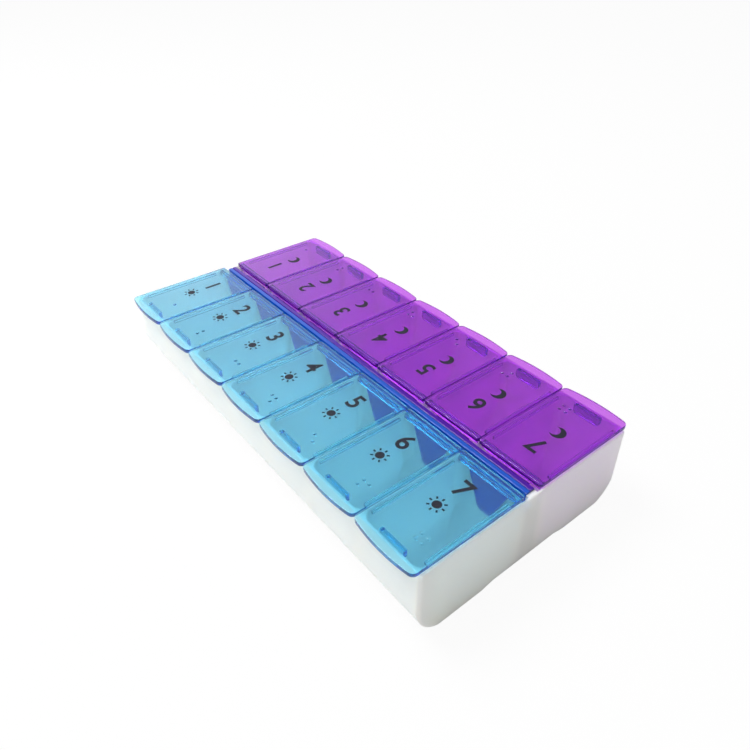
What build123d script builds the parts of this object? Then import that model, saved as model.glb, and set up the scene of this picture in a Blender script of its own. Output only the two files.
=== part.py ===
from build123d import *
from math import hypot, radians, tan
import os

# Weekly pill box: a white tray with two rows of seven compartments, closed by translucent hinged lids.
# Millimetres. X runs along the rows, the morning row lies on the -Y side, Z is up, the table is at zero.

# Rows and days
day_count = 7
day_pitch = 25.0             # from one partition to the next
lid_gap = 0.3                # open gap between neighbouring lids
row_length = day_count * day_pitch
day_centres = [(day + 0.5) * day_pitch - row_length / 2 for day in range(day_count)]
day_edges = [day * day_pitch - row_length / 2 for day in range(day_count + 1)]

# Tray outside
rim_height = 28.2            # top of the walls above the table
rim_half_width = 43.6        # outer face of a long wall at the rim, from the middle plane
end_margin = 0.7             # outer face of an end wall beyond the last day's edge
wall_spread = 1.0            # degrees, outer faces, wider at the foot
side_bottom_radius = 12.5    # long bottom edges
end_bottom_radius = 1.0      # short bottom edges
corner_radius = 1.2          # upright corners
rim_round = 0.4              # outer edge of the rim
mouth_chamfer = 0.3          # inner edges of the rim
mouth_angle = 45.0           # degrees
tray_half_length = row_length / 2 + end_margin

# Tray inside
wall = 1.0                   # long walls, rear walls and floor
partition = 1.5              # between neighbouring compartments
inner_draft = 1.0            # degrees, insides of the compartments
deck_half_width = 4.0        # rear faces of the compartments, from the middle plane
rear_corner_radius = 4.0     # upright inner corners at the rear
front_corner_radius = 3.0    # upright inner corners at the front
floor_side_radius = 6.0      # between floor and partitions
scoop_radius = side_bottom_radius - wall
compartment_width = day_pitch - partition
compartment_front = rim_half_width - wall

# Tray ends
arch_rise = 1.8              # raised middle of the end wall's lower edge
arch_half_width = 14.0
arch_run = 8.0               # sloping stretch on each side of the arch
end_wall_inner = row_length / 2 - partition / 2

# Lids
lid_thickness = 1.4
lid_seat_gap = 0.1           # between a closed lid and the rim
lid_overhang = 3.0           # middle of the bowed front edge beyond the long wall
lid_rear = 3.3               # rear edge from the middle plane
lid_bow = 1.2                # bow of the front edge
lid_corner_radius = 2.0
lid_rear_corner_radius = 0.8
lid_edge_round = 0.3
lid_width = day_pitch - lid_gap
lid_front = rim_half_width + lid_overhang
plate_bottom = rim_height + lid_seat_gap
plate_top = plate_bottom + lid_thickness
side_rib_inset = 1.25        # lid's side edge to the rib under it
side_rib_thickness = 0.6
side_rib_depth = 1.0
side_rib_setback = 6.7       # rib's front end from the lid's front edge
side_rib_start = 3.4         # rib's rear end from the hinge axis

# Hinges: stub pins of the lids turn in ears at the rear ends of the partitions
hinge_offset = 5.1           # hinge axis from the middle plane
ear_radius = 0.9
ear_clearance = 0.3          # between an ear and a lid's plate
barrel_radius = 0.9
barrel_end_gap = 0.2         # between a barrel and the partitions
barrel_clearance = 0.3       # around a barrel
web_thickness = 1.2          # between a barrel and its lid's plate
pin_radius = 0.5
pin_length = 0.65            # engaged in an ear
pin_clearance = 0.06         # radial
hinge_height = plate_bottom - ear_clearance - ear_radius
ear_rear = hinge_offset - ear_radius
barrel_half_length = compartment_width / 2 - barrel_end_gap
pocket_floor = hinge_height - barrel_radius - barrel_clearance
pocket_round = 0.3           # lower edges of the room for a barrel

# Strips in the channel between the rows: a rib, and a flange under the rear edges of the open lids
strip_drop = 0.9             # rib's top below the lids' top
strip_swing_gap = 0.15       # between the rib and an opening lid
strip_stop_gap = 0.2         # between the flange and an open lid
strip_ear_gap = 0.3          # between the flange and the ears
strip_middle_gap = 0.1       # between the two strips
strip_end_gap = 0.1          # between a strip and the posts
strip_edge_round = 0.3
flange_thickness = 1.2
lid_swing_radius = hypot(hinge_offset - lid_rear, plate_top - hinge_height)
rib_half_width = hinge_offset - lid_swing_radius - strip_swing_gap
rib_top = plate_top - strip_drop
flange_half_width = ear_rear - strip_ear_gap
flange_top = hinge_height - (hinge_offset - lid_rear) - strip_stop_gap
post_length = 1.1            # post in each end of the channel, as wide as the ribs
post_inner = row_length / 2 - post_length
strip_half_length = post_inner - strip_end_gap
deck_height = flange_top - flange_thickness
deck_thickness = 1.6
peg_offset = 1.4             # middle of the pegs from the middle plane
peg_radius = 0.8
peg_clearance = 0.05
peg_stand_out = 0.4          # peg below the deck

# Aprons of the strips, hanging inside the rear walls
apron_clearance = 0.1        # to the rear wall
apron_thickness = 1.0
apron_length = 12.5
apron_half_width = 7.5       # at its top
apron_tip_half_width = 2.6
apron_tip_round_share = 0.8  # of the tip's half width
apron_rear = deck_half_width + apron_clearance

# Latch
bead_radius = 0.5            # bead along the inside of the front wall
bead_stand_out = 0.2
bead_drop = 1.4              # below the rim
latch_clearance = 0.1        # tab's bump past the bead
bump_radius = 0.5
bump_stand_out = 0.15
bump_drop = 1.2              # bump below the bead
tab_width = 10.0
tab_thickness = 1.3
tab_depth = 3.3
tab_corner_radius = 1.0
bead_width = 7.5
tab_front = compartment_front - bead_stand_out - latch_clearance - bump_stand_out

# Tactile dots: the numbers one to seven in braille, on a cell of two columns and three rows
dot_pitch = 2.4
dot_radius = 0.65
dot_height = 0.35
dot_cell_x = 5.0             # middle of the cell from the lid's middle
dot_setback = 9.6            # middle of the cell from the lid's front edge
dot_cell_y = lid_front - dot_setback
dot_ball_radius = (dot_radius ** 2 + dot_height ** 2) / (2 * dot_height)
dot_columns_shares = {1: -0.5, 2: -0.5, 3: -0.5, 4: 0.5, 5: 0.5, 6: 0.5}
dot_rows_shares = {1: 1, 2: 0, 3: -1, 4: 1, 5: 0, 6: -1}
dot_numbers = {1: (1,), 2: (1, 2), 3: (1, 4), 4: (1, 4, 5), 5: (1, 5), 6: (1, 2, 4), 7: (1, 2, 4, 5)}

overrun = 2.0                # cuts run this far past what they cut
fuse_overlap = 0.2           # pieces of one solid sink this far into each other


def block(x_low, x_high, y_low, y_high, z_low, z_high):
    """A box between two corners."""
    size = (x_high - x_low, y_high - y_low, z_high - z_low)
    middle = ((x_low + x_high) / 2, (y_low + y_high) / 2, (z_low + z_high) / 2)
    return Pos(*middle) * Box(*size)


def bar(radius, length, x, y, z):
    """A round bar along X, with its middle at the point."""
    return Pos(x, y, z) * Rot(0, 90, 0) * Cylinder(radius, length)


def leaning_outline(half_width, draft, radius, low, high, width_height):
    """An upright outline, narrower at the bottom by its draft, with two rounded bottom corners."""
    lean = tan(radians(draft))
    low_half = half_width - (width_height - low) * lean
    high_half = half_width + (high - width_height) * lean
    outline = Polyline((-high_half, high), (-low_half, low), (low_half, low), (high_half, high), close=True)
    face = Sketch() + make_face(outline)
    return fillet(face.vertices().group_by(Axis.Y)[0], radius)


def tray_block():
    """The tray's outer form: a spreading block crossed by two outlines with rounded bottom edges."""
    plan = RectangleRounded(2 * tray_half_length, 2 * rim_half_width, corner_radius)
    solid = Pos(0, 0, rim_height) * extrude(plan, rim_height + overrun, dir=(0, 0, -1), taper=-wall_spread)
    solid = fillet(solid.edges().group_by(Axis.Z)[-1], rim_round)
    top = rim_height + overrun
    across = leaning_outline(rim_half_width, -wall_spread, side_bottom_radius, 0, top, rim_height)
    along = leaning_outline(tray_half_length, -wall_spread, end_bottom_radius, 0, top, rim_height)
    solid &= extrude(Plane.YZ * across, tray_half_length + overrun, both=True)
    return solid & extrude(Plane.XZ * along, rim_half_width + overrun, both=True)


def compartment_front_at(height):
    """The inner face of the long wall at a height."""
    return compartment_front - (rim_height - height) * tan(radians(inner_draft))


def compartment():
    """The hollow of one morning compartment, with its middle at x zero."""
    top = rim_height + overrun
    across = Polyline(
        (-compartment_front_at(top), top),
        (-compartment_front_at(wall), wall),
        (-deck_half_width, wall),
        (-deck_half_width, top),
        close=True,
    )
    section = Sketch() + make_face(across)
    section = fillet(section.vertices().group_by(Axis.Y)[0], scoop_radius)
    half_width = compartment_width / 2
    along = leaning_outline(half_width, inner_draft, floor_side_radius, wall, top, rim_height)
    depth = compartment_front - deck_half_width
    plan = Sketch() + Pos(0, -deck_half_width - depth / 2) * Rectangle(compartment_width, depth)
    plan = fillet(plan.vertices().group_by(Axis.Y)[0], front_corner_radius)
    plan = fillet(plan.vertices().group_by(Axis.Y)[-1], rear_corner_radius)
    hollow = extrude(Plane.YZ * section, half_width, both=True)
    hollow &= extrude(Plane.XZ * along, compartment_front)
    hollow &= Pos(0, 0, wall) * extrude(plan, top - wall)
    mouth = extrude(plan, mouth_chamfer, taper=-mouth_angle)
    hollow += Pos(0, 0, rim_height - mouth_chamfer) * mouth
    pocket_front = hinge_offset + barrel_radius + barrel_clearance
    pocket = leaning_outline(half_width, inner_draft, pocket_round, pocket_floor, top, rim_height)
    return hollow + Pos(0, -ear_rear, 0) * extrude(Plane.XZ * pocket, pocket_front - ear_rear)


def underside_hollow():
    """The hollow between the rows, open below, with even walls around the rear scoops."""
    outer_radius = scoop_radius + wall
    foot = deck_half_width + scoop_radius
    side = foot - outer_radius
    roof = deck_height - deck_thickness
    edges = [
        RadiusArc((-side, outer_radius), (-foot, 0), outer_radius),
        RadiusArc((foot, 0), (side, outer_radius), outer_radius),
        Line((-foot, 0), (foot, 0)),
        Polyline((side, outer_radius), (side, roof), (-side, roof), (-side, outer_radius)),
    ]
    section = make_face(edges)
    return extrude(Plane.YZ * section, end_wall_inner, both=True)


def end_arch(end):
    """The cut that raises the middle of an end wall's lower edge."""
    foot = arch_half_width + arch_run
    arch = Polyline(
        (-foot, 0),
        (-arch_half_width, arch_rise),
        (arch_half_width, arch_rise),
        (foot, 0),
        close=True,
    )
    length = tray_half_length - end_wall_inner + overrun
    prism = extrude(Plane.YZ * make_face(arch), length)
    return Pos(end * end_wall_inner - (length if end < 0 else 0), 0, 0) * prism


def latch_bead():
    """The bead on the inside of one morning front wall."""
    height = rim_height - bead_drop
    middle = compartment_front_at(height) + bead_radius - bead_stand_out
    return bar(bead_radius, bead_width, 0, -middle, height)


def on_both_rows(morning_shape):
    """A morning shape at every day of both rows."""
    row = [Pos(x, 0, 0) * morning_shape for x in day_centres]
    return row + [Rot(0, 0, 180) * shape for shape in row]


def hinge_ears():
    """The rounded rear ends of the morning partitions, around the hinge axis."""
    ears = []
    for edge in day_edges:
        low = max(edge - partition / 2, -row_length / 2)
        high = min(edge + partition / 2, row_length / 2)
        ears.append(bar(ear_radius, high - low, (low + high) / 2, -hinge_offset, hinge_height))
    return ears


def tray():
    """The white tray."""
    solid = tray_block()
    solid -= on_both_rows(compartment())
    for end in (-1, 1):
        solid -= end_arch(end)
    solid += on_both_rows(latch_bead())
    solid -= underside_hollow()
    top = rim_height + overrun
    reach = row_length / 2
    channel = block(-post_inner, post_inner, -rib_half_width, rib_half_width, deck_height, top)
    channel_side = block(-reach, reach, -ear_rear, -rib_half_width, deck_height, top)
    swing_room = block(-reach, reach, -hinge_offset, -rib_half_width, hinge_height, top)
    solid -= channel
    for turn in (0, 180):
        solid -= [Rot(0, 0, turn) * room for room in (channel_side, swing_room)]
        solid += [Rot(0, 0, turn) * ear for ear in hinge_ears()]
    for y in (-hinge_offset, hinge_offset):
        solid -= bar(pin_radius + pin_clearance, row_length, 0, y, hinge_height)
    peg_hole = Cylinder(peg_radius + peg_clearance, 2 * (deck_thickness + overrun))
    for y in (-peg_offset, peg_offset):
        solid -= [Pos(x, y, deck_height) * peg_hole for x in day_centres]
    return solid


def apron():
    """One morning apron with its middle at x zero, and the web that joins it to the flange."""
    tip = flange_top - apron_length
    outline = Polyline(
        (-apron_half_width, flange_top),
        (-apron_tip_half_width, tip),
        (apron_tip_half_width, tip),
        (apron_half_width, flange_top),
        close=True,
    )
    tongue = Sketch() + make_face(outline)
    tongue = fillet(tongue.vertices().group_by(Axis.Y)[0], apron_tip_half_width * apron_tip_round_share)
    solid = Pos(0, -apron_rear, 0) * extrude(Plane.XZ * tongue, apron_thickness)
    web_front = apron_rear + fuse_overlap
    web_rear = flange_half_width - fuse_overlap
    narrowing = (apron_half_width - apron_tip_half_width) * flange_thickness / apron_length
    web_half_width = apron_half_width - narrowing
    return solid + block(-web_half_width, web_half_width, -web_front, -web_rear, deck_height, flange_top)


def strip():
    """The morning strip: a rib and a flange in the channel, pegs and aprons."""
    inner = strip_middle_gap / 2
    end = strip_half_length
    rib = block(-end, end, -rib_half_width, -inner, deck_height, rib_top)
    rib = fillet(rib.edges().filter_by(Axis.X).group_by(Axis.Z)[-1], strip_edge_round)
    solid = rib + block(-end, end, -flange_half_width, -inner, deck_height, flange_top)
    length = deck_thickness + peg_stand_out + fuse_overlap
    middle = deck_height + fuse_overlap - length / 2
    solid += [Pos(x, -peg_offset, middle) * Cylinder(peg_radius, length) for x in day_centres]
    return solid + [Pos(x, 0, 0) * apron() for x in day_centres]


def bowed_outline(half_width, rear, front, bow, front_radius, rear_radius):
    """A morning lid's outline in plan: straight sides, a bowed front edge and four rounded corners."""
    side = front - bow
    edges = [
        Polyline((-half_width, -side), (-half_width, -rear), (half_width, -rear), (half_width, -side)),
        ThreePointArc((half_width, -side), (0, -front), (-half_width, -side)),
    ]
    face = Sketch() + make_face(edges)
    face = fillet(face.vertices().group_by(Axis.Y)[0], front_radius)
    return fillet(face.vertices().group_by(Axis.Y)[-1], rear_radius)


def lid(number):
    """A morning lid with its middle at x zero, and its number in tactile dots."""
    outline = bowed_outline(
        lid_width / 2,
        lid_rear,
        lid_front,
        lid_bow,
        lid_corner_radius,
        lid_rear_corner_radius,
    )
    solid = Pos(0, 0, plate_bottom) * extrude(outline, lid_thickness)
    solid = fillet(solid.edges().group_by(Axis.Z)[-1], lid_edge_round)
    root = plate_bottom + fuse_overlap
    web_rear = hinge_offset - web_thickness / 2
    web_front = hinge_offset + web_thickness / 2
    solid += block(-barrel_half_length, barrel_half_length, -web_front, -web_rear, hinge_height, root)
    solid += bar(barrel_radius, 2 * barrel_half_length, 0, -hinge_offset, hinge_height)
    pin_reach = barrel_half_length + barrel_end_gap + pin_length
    solid += bar(pin_radius, 2 * pin_reach, 0, -hinge_offset, hinge_height)
    rib_outer = lid_width / 2 - side_rib_inset
    rib_inner = rib_outer - side_rib_thickness
    rib_front = lid_front - side_rib_setback
    rib_rear = hinge_offset + side_rib_start
    side_rib = block(rib_inner, rib_outer, -rib_front, -rib_rear, plate_bottom - side_rib_depth, root)
    solid += [side_rib, mirror(side_rib, Plane.YZ)]
    tab = leaning_outline(tab_width / 2, 0, tab_corner_radius, plate_bottom - tab_depth, root, root)
    solid += Pos(0, tab_thickness - tab_front, 0) * extrude(Plane.XZ * tab, tab_thickness)
    bump_middle = tab_front + bump_stand_out - bump_radius
    solid += bar(bump_radius, bead_width, 0, -bump_middle, rim_height - bead_drop - bump_drop)
    for dot in dot_numbers[number]:
        x = dot_cell_x + dot_columns_shares[dot] * dot_pitch
        y = dot_rows_shares[dot] * dot_pitch - dot_cell_y
        solid += Pos(x, y, plate_top + dot_height - dot_ball_radius) * Sphere(dot_ball_radius)
    return solid


os.makedirs("parts", exist_ok=True)
export_step(tray(), "parts/tray.step")
morning_strip = strip()
export_step(morning_strip, "parts/morning_strip.step")
export_step(Rot(0, 0, 180) * morning_strip, "parts/evening_strip.step")
for number, x in enumerate(day_centres, start=1):
    one_lid = lid(number)
    export_step(Pos(x, 0, 0) * one_lid, f"parts/morning_lid_{number}.step")
    export_step(Pos(x, 0, 0) * Rot(0, 0, 180) * one_lid, f"parts/evening_lid_{number}.step")
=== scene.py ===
from math import cos, pi, radians, sin

import bpy
from mathutils import Matrix, Vector


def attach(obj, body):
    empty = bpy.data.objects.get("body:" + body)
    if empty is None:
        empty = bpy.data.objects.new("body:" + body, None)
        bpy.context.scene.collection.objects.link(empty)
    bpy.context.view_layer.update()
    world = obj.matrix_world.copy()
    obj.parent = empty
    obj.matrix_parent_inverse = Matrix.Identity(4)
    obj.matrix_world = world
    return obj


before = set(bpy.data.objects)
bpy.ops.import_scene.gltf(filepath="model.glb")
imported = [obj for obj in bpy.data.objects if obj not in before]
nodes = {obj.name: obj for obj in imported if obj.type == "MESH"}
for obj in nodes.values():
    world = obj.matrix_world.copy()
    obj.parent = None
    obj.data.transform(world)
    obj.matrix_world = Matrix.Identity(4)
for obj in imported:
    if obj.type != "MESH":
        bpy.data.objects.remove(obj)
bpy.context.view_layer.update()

# Sizes in metres, in the frame of the solids
MM = 0.001
day_count = 7
day_pitch = 25.0 * MM
row_length = day_count * day_pitch
day_centres = [(day + 0.5) * day_pitch - row_length / 2 for day in range(day_count)]
lid_top = 29.7 * MM
rows = {"morning": -1, "evening": 1}

# Printed marks, placed from a lid's middle and from the middle plane
ink_height = 0.02 * MM
numeral_height = 7.0 * MM
numeral_height_share = 0.73      # of the font's size
numeral_bold = 0.18 * MM
numeral_x = -0.5 * MM
numeral_y = 15.5 * MM
symbol_x = -1.0 * MM
symbol_y = 24.8 * MM
symbol_radius = 3.0 * MM
sun_disc_share = 0.5             # of the symbol's radius, as the next ones
sun_ray_start_share = 0.68
sun_ray_half_width_share = 0.1
sun_ray_count = 8
moon_radius_share = 0.9
moon_hollow_share = 0.45         # middle of the hollow from the middle of the moon
moon_opening = pi / 4            # half of the angle between the horns
curve_steps = 40

# Fields of the tray's painted light and shade, each from where it starts to where it is full
end_face_edges = (87.2 * MM, 87.9 * MM)
long_face_edges = (38 * MM, 43 * MM)
beside_middle_edges = (1.5 * MM, 5.5 * MM)
morning_corner_shade_edges = (-34 * MM, -42 * MM)
painted_light_edges = (-12 * MM, 12 * MM)

# Colours of the tray and the ink. The row colours are painted light, the lids' tint shining out through the
# thin walls; the shade colour is painted shade
tray_white = (0.95, 0.955, 0.955)
# Painted light: tints of the outer faces from the lids' coloured light passing through the walls
tray_morning_painted_light = (0.97, 0.955, 0.875)
tray_evening_painted_light = (0.99, 0.925, 0.905)
# Painted shade on the end faces, where no lit compartment lies behind the wall
tray_painted_shade = (0.87, 0.86, 0.83)
tray_light_reach = 2.5 * MM
tray_light_shares = (1.0, 0.95, 0.9)   # of the reach, for red, green and blue
ink_blacks = ((0.012, 0.012, 0.02), (0.03, 0.03, 0.045))

# See-through plastics: two surface tints, the share of clear light, the colour of the depth and its strength
blue = (0.0, 0.79, 0.97)
violet = (0.7, 0.0, 0.92)
clear_plastics = {
    "morning_lid": (((0.86, 0.97, 0.995), (0.9, 0.98, 1.0)), 0.98, blue, 450),
    "evening_lid": (((0.83, 0.42, 0.95), (0.87, 0.46, 0.97)), 0.97, violet, 560),
    "morning_strip": (((0.008, 0.1, 0.66), (0.012, 0.12, 0.7)), 0.3, blue, 250),
    "evening_strip": (((0.07, 0.004, 0.4), (0.085, 0.006, 0.45)), 0.3, violet, 420),
}
plastic_ior = 1.46

# Grains and gloss of the surfaces
grain_range = (0.35, 0.65)       # where most of a noise lies
fine_detail = 3.0
soft_detail = 1.0
tray_grain = 3 * MM
clear_grain = 9 * MM
ink_grain = 0.8 * MM
paper_grain = 40 * MM
ripple_strength = 0.3
tray_ripple = 0.02 * MM
clear_ripple = 0.05 * MM
tray_roughness = (0.32, 0.44)
clear_roughness = (0.06, 0.12)
ink_roughness = (0.4, 0.6)
ink_specular = 0.2
paper_roughness = 0.9
paper_specular = 0.1

# Floor, light and camera
floor_half = 4.0
floor_drop = 0.2 * MM
floor_greys = ((0.79, 0.79, 0.79), (0.81, 0.81, 0.81))
floor_white_share = 0.94         # the rest of what the camera sees keeps the shadow
white = 1.0
room_light = 0.44
mirrored_levels = (0.3, 1.5)     # dim room, bright window
window_direction = (-0.88, 0.15, 0.45)
window_range = (0.86, 1.0)       # cosine of the angle to the window's middle
key_direction = (-0.45, -0.23, 0.86)
key_distance = 1.0
key_size = 0.5
key_power = 10.3
sensor_width = 36.0              # millimetres, as the lens
lens = 31.54
camera_place = (159.7 * MM, -115.2 * MM, 167.5 * MM)
camera_turn = (53.0, 0.09, 51.26)
camera_near = 1 * MM
light_bounces = 24
diffuse_bounces = 12


def new_material(name):
    """A material with its node tree and its main shader."""
    material = bpy.data.materials.new(name)
    material.use_nodes = True
    return material, material.node_tree, material.node_tree.nodes["Principled BSDF"]


def feed(tree, socket, value):
    """A socket takes another node's result, a colour or a number."""
    if isinstance(value, bpy.types.NodeSocket):
        tree.links.new(value, socket)
    elif isinstance(value, tuple):
        socket.default_value = (*value, 1.0)
    else:
        socket.default_value = value


def blend(tree, data_type, factor, first, second):
    """A number or colour that runs from the first to the second as the factor does."""
    mix = tree.nodes.new("ShaderNodeMix")
    mix.data_type = data_type
    feed(tree, mix.inputs["Factor"], factor)
    feed(tree, mix.inputs["A"], first)
    feed(tree, mix.inputs["B"], second)
    return mix.outputs["Result"]


def remap(tree, value, source, target=(0.0, 1.0), interpolation="SMOOTHSTEP"):
    """A value taken from one range to another."""
    node = tree.nodes.new("ShaderNodeMapRange")
    node.interpolation_type = interpolation
    node.inputs["From Min"].default_value = source[0]
    node.inputs["From Max"].default_value = source[1]
    node.inputs["To Min"].default_value = target[0]
    node.inputs["To Max"].default_value = target[1]
    feed(tree, node.inputs["Value"], value)
    return node.outputs["Result"]


def combine(tree, operation, *values):
    """A result of one or two values, kept between zero and one."""
    node = tree.nodes.new("ShaderNodeMath")
    node.operation = operation
    node.use_clamp = True
    for value, socket in zip(values, node.inputs):
        feed(tree, socket, value)
    return node.outputs["Value"]


def noise(tree, size, detail=fine_detail):
    """A noise fixed to the object, with grains of about the given size."""
    place = tree.nodes.new("ShaderNodeTexCoord")
    texture = tree.nodes.new("ShaderNodeTexNoise")
    texture.inputs["Scale"].default_value = 1.0 / size
    texture.inputs["Detail"].default_value = detail
    feed(tree, texture.inputs["Vector"], place.outputs["Object"])
    return texture.outputs["Fac"]


def roughen(tree, shader, grain, roughness):
    """A roughness that runs over its range with the grain."""
    feed(tree, shader.inputs["Roughness"], remap(tree, grain, grain_range, roughness, "LINEAR"))


def ripple(tree, shader, grain, depth):
    """A faint unevenness of the surface."""
    bump = tree.nodes.new("ShaderNodeBump")
    bump.inputs["Strength"].default_value = ripple_strength
    bump.inputs["Distance"].default_value = depth
    feed(tree, bump.inputs["Height"], grain)
    feed(tree, shader.inputs["Normal"], bump.outputs["Normal"])


def tray_colour(tree):
    """White. The outer faces carry painted light tinted by the row of lids behind them. The end faces carry
    painted shade in the middle and at the morning corner, where no lit compartment lies behind.
    """
    place = tree.nodes.new("ShaderNodeTexCoord")
    split = tree.nodes.new("ShaderNodeSeparateXYZ")
    feed(tree, split.inputs["Vector"], place.outputs["Object"])
    y = split.outputs["Y"]
    from_middle = combine(tree, "ABSOLUTE", y)
    end_face = remap(tree, combine(tree, "ABSOLUTE", split.outputs["X"]), end_face_edges)
    long_face = remap(tree, from_middle, long_face_edges)
    outside = combine(tree, "MAXIMUM", end_face, long_face)
    # Painted shade: the end faces stay light only beside the middle and short of the morning corner, where
    # lit compartments lie behind
    beside_middle = remap(tree, from_middle, beside_middle_edges)
    morning_corner_shaded = remap(tree, y, morning_corner_shade_edges)
    shine = combine(tree, "SUBTRACT", beside_middle, morning_corner_shaded)
    # Painted light: the outer faces take the colour of the lids' light that shines through the walls
    painted_row_light = blend(tree, "RGBA", remap(tree, y, painted_light_edges), tray_morning_painted_light, tray_evening_painted_light)
    colour = blend(tree, "RGBA", outside, tray_white, painted_row_light)
    # Painted shade blended over the colour on the end faces
    return blend(tree, "RGBA", combine(tree, "SUBTRACT", end_face, shine), colour, tray_painted_shade)


def tray_plastic():
    """White moulded plastic that lets light a little way in."""
    material, tree, shader = new_material("tray_plastic")
    feed(tree, shader.inputs["Base Color"], tray_colour(tree))
    grain = noise(tree, tray_grain)
    roughen(tree, shader, grain, tray_roughness)
    shader.inputs["Subsurface Weight"].default_value = 1.0
    shader.inputs["Subsurface Radius"].default_value = tray_light_shares
    shader.inputs["Subsurface Scale"].default_value = tray_light_reach
    ripple(tree, shader, grain, tray_ripple)
    return material


def clear_plastic(kind):
    """Polished see-through plastic, tinted as light passes and deeper in colour with its thickness."""
    tints, clarity, depth_colour, density = clear_plastics[kind]
    material, tree, shader = new_material(f"{kind}_plastic")
    grain = noise(tree, clear_grain, soft_detail)
    feed(tree, shader.inputs["Base Color"], blend(tree, "RGBA", grain, *tints))
    roughen(tree, shader, grain, clear_roughness)
    shader.inputs["IOR"].default_value = plastic_ior
    shader.inputs["Transmission Weight"].default_value = clarity
    ripple(tree, shader, grain, clear_ripple)
    volume = tree.nodes.new("ShaderNodeVolumeAbsorption")
    volume.inputs["Color"].default_value = (*depth_colour, 1.0)
    volume.inputs["Density"].default_value = density
    feed(tree, tree.nodes["Material Output"].inputs["Volume"], volume.outputs["Volume"])
    return material


def print_ink():
    """Black printing ink with a slightly uneven gloss."""
    material, tree, shader = new_material("print_ink")
    grain = noise(tree, ink_grain)
    feed(tree, shader.inputs["Base Color"], blend(tree, "RGBA", grain, *ink_blacks))
    roughen(tree, shader, grain, ink_roughness)
    shader.inputs["Specular IOR Level"].default_value = ink_specular
    return material


def dress(node, material):
    """A node's surface takes one material."""
    node.data.materials.clear()
    node.data.materials.append(material)


def mesh_object(name, corners, faces, material):
    """A new object made of flat faces."""
    mesh = bpy.data.meshes.new(name)
    mesh.from_pydata(corners, [], faces)
    mesh.materials.append(material)
    thing = bpy.data.objects.new(name, mesh)
    bpy.context.scene.collection.objects.link(thing)
    return thing


def numeral(name, number, material):
    """A bold numeral, flat, with its middle at the origin."""
    curve = bpy.data.curves.new(name, "FONT")
    curve.body = str(number)
    curve.size = numeral_height / numeral_height_share
    curve.offset = numeral_bold
    curve.align_x = "CENTER"
    curve.align_y = "CENTER"
    drawn = bpy.data.objects.new(name + "_curve", curve)
    bpy.context.scene.collection.objects.link(drawn)
    bpy.context.view_layer.update()
    mesh = bpy.data.meshes.new_from_object(drawn.evaluated_get(bpy.context.evaluated_depsgraph_get()))
    bpy.data.objects.remove(drawn)
    mesh.name = name
    mesh.materials.clear()
    mesh.materials.append(material)
    thing = bpy.data.objects.new(name, mesh)
    bpy.context.scene.collection.objects.link(thing)
    return thing


def ring_points(radius, start, end, x=0.0):
    """Points along an arc about (x, 0)."""
    turns = [start + (end - start) * step / curve_steps for step in range(curve_steps + 1)]
    return [(x + radius * cos(turn), radius * sin(turn), 0.0) for turn in turns]


def sun(name, material):
    """A disc with rays."""
    corners = ring_points(sun_disc_share * symbol_radius, 0, 2 * pi)[:-1]
    faces = [tuple(range(len(corners)))]
    half_width = sun_ray_half_width_share * symbol_radius
    low = sun_ray_start_share * symbol_radius
    high = symbol_radius
    outline = [(low, -half_width), (high, -half_width), (high, half_width), (low, half_width)]
    for ray in range(sun_ray_count):
        turn = Matrix.Rotation(ray * 2 * pi / sun_ray_count, 4, "Z")
        first = len(corners)
        corners += [tuple(turn @ Vector((x, y, 0.0))) for x, y in outline]
        faces.append(tuple(range(first, len(corners))))
    return mesh_object(name, corners, faces, material)


def moon(name, material):
    """A crescent between two arcs that meet at its horns."""
    outer = ring_points(moon_radius_share * symbol_radius, moon_opening, 2 * pi - moon_opening)
    horn = Vector(outer[0])
    middle = moon_hollow_share * symbol_radius
    inner_radius = (horn - Vector((middle, 0, 0))).length
    horn_turn = Vector((horn.x - middle, horn.y)).angle_signed(Vector((1, 0)))
    inner = ring_points(inner_radius, horn_turn, 2 * pi - horn_turn, middle)
    corners = outer + inner[1:-1]
    count = len(outer)
    faces = []
    for step in range(curve_steps):
        near = count + step - 1 if step > 0 else 0
        far = count + step if step < curve_steps - 1 else count - 1
        faces.append(tuple(dict.fromkeys((step, step + 1, far, near))))
    return mesh_object(name, corners, faces, material)


def set_mark(mark, body, x, side, local_x, local_y):
    """A mark lies on a lid and rides on it."""
    turn = Matrix.Rotation(pi if side > 0 else 0.0, 4, "Z")
    place = Vector((x, 0, 0)) + turn @ Vector((local_x, -local_y, lid_top + ink_height))
    mark.matrix_world = Matrix.Translation(place) @ turn
    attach(mark, body)


def floor_paper():
    """Pale paper, which the camera sees as nearly white."""
    material, tree, shader = new_material("floor_paper")
    feed(tree, shader.inputs["Base Color"], blend(tree, "RGBA", noise(tree, paper_grain), *floor_greys))
    shader.inputs["Roughness"].default_value = paper_roughness
    shader.inputs["Specular IOR Level"].default_value = paper_specular
    glow = tree.nodes.new("ShaderNodeEmission")
    rays = tree.nodes.new("ShaderNodeLightPath")
    mix = tree.nodes.new("ShaderNodeMixShader")
    share = combine(tree, "MULTIPLY", rays.outputs["Is Camera Ray"], floor_white_share)
    feed(tree, mix.inputs["Fac"], share)
    feed(tree, mix.inputs[1], shader.outputs["BSDF"])
    feed(tree, mix.inputs[2], glow.outputs["Emission"])
    feed(tree, tree.nodes["Material Output"].inputs["Surface"], mix.outputs["Shader"])
    return material


def pale_floor():
    """A wide floor, just below the feet."""
    corner_shares = [(-1, -1), (1, -1), (1, 1), (-1, 1)]
    corners = [(x * floor_half, y * floor_half, -floor_drop) for x, y in corner_shares]
    floor = mesh_object("floor", corners, [(0, 1, 2, 3)], floor_paper())


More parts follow.
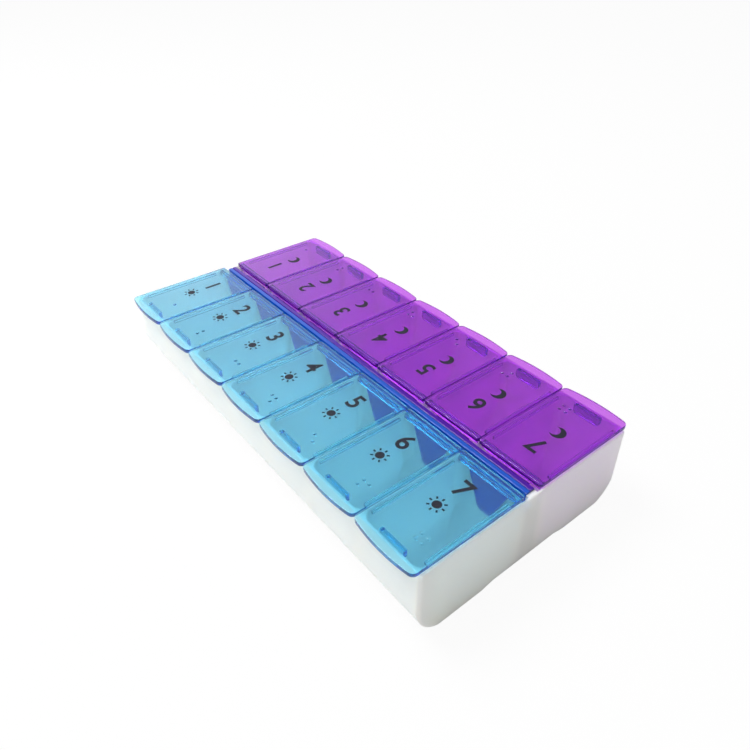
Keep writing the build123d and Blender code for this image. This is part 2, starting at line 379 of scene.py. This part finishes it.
def white_world():
    """An even white surrounding. Glossy surfaces mirror a dim room with a bright window on one side."""
    world = bpy.data.worlds.new("studio")
    bpy.context.scene.world = world
    world.use_nodes = True
    tree = world.node_tree
    background = tree.nodes["Background"]
    background.inputs["Color"].default_value = (1.0, 1.0, 1.0, 1.0)
    rays = tree.nodes.new("ShaderNodeLightPath")
    place = tree.nodes.new("ShaderNodeTexCoord")
    nearness = tree.nodes.new("ShaderNodeVectorMath")
    nearness.operation = "DOT_PRODUCT"
    nearness.inputs[1].default_value = Vector(window_direction).normalized()
    feed(tree, nearness.inputs[0], place.outputs["Generated"])
    window = remap(tree, nearness.outputs["Value"], window_range, mirrored_levels)
    mirrored = blend(tree, "FLOAT", rays.outputs["Is Glossy Ray"], room_light, window)
    seen = combine(tree, "MAXIMUM", rays.outputs["Is Camera Ray"], rays.outputs["Is Transmission Ray"])
    feed(tree, background.inputs["Strength"], blend(tree, "FLOAT", seen, mirrored, white))


def key_lamp():
    """A square lamp that faces the object from above."""
    light = bpy.data.lights.new("key", "AREA")
    light.shape = "SQUARE"
    light.size = key_size
    light.energy = key_power
    lamp = bpy.data.objects.new("key", light)
    lamp.location = Vector(key_direction).normalized() * key_distance
    lamp.rotation_euler = Vector(key_direction).to_track_quat("Z", "Y").to_euler()
    bpy.context.scene.collection.objects.link(lamp)


def photo_camera():
    """The camera stands where the photograph was taken from."""
    data = bpy.data.cameras.new("camera")
    data.sensor_width = sensor_width
    data.sensor_fit = "HORIZONTAL"
    data.lens = lens
    data.clip_start = camera_near
    camera = bpy.data.objects.new("camera", data)
    camera.location = camera_place
    camera.rotation_euler = [radians(turn) for turn in camera_turn]
    bpy.context.scene.collection.objects.link(camera)
    bpy.context.scene.camera = camera


# Finishes
dress(nodes["tray"], tray_plastic())
for row in rows:
    lid_plastic = clear_plastic(f"{row}_lid")
    dress(nodes[f"{row}_strip"], clear_plastic(f"{row}_strip"))
    for number in range(1, day_count + 1):
        dress(nodes[f"{row}_lid_{number}"], lid_plastic)

# Printed marks
ink = print_ink()
for row, side in rows.items():
    symbol = sun if side < 0 else moon
    for number, x in enumerate(day_centres, start=1):
        body = f"{row}_lid_{number}"
        set_mark(numeral(f"{row}_numeral_{number}", number, ink), body, x, side, numeral_x, numeral_y)
        set_mark(symbol(f"{row}_symbol_{number}", ink), body, x, side, symbol_x, symbol_y)

# Studio
pale_floor()
white_world()
key_lamp()
photo_camera()
scene = bpy.context.scene
scene.view_settings.view_transform = "Standard"
scene.cycles.max_bounces = light_bounces
scene.cycles.diffuse_bounces = diffuse_bounces
scene.cycles.glossy_bounces = light_bounces
scene.cycles.transmission_bounces = light_bounces
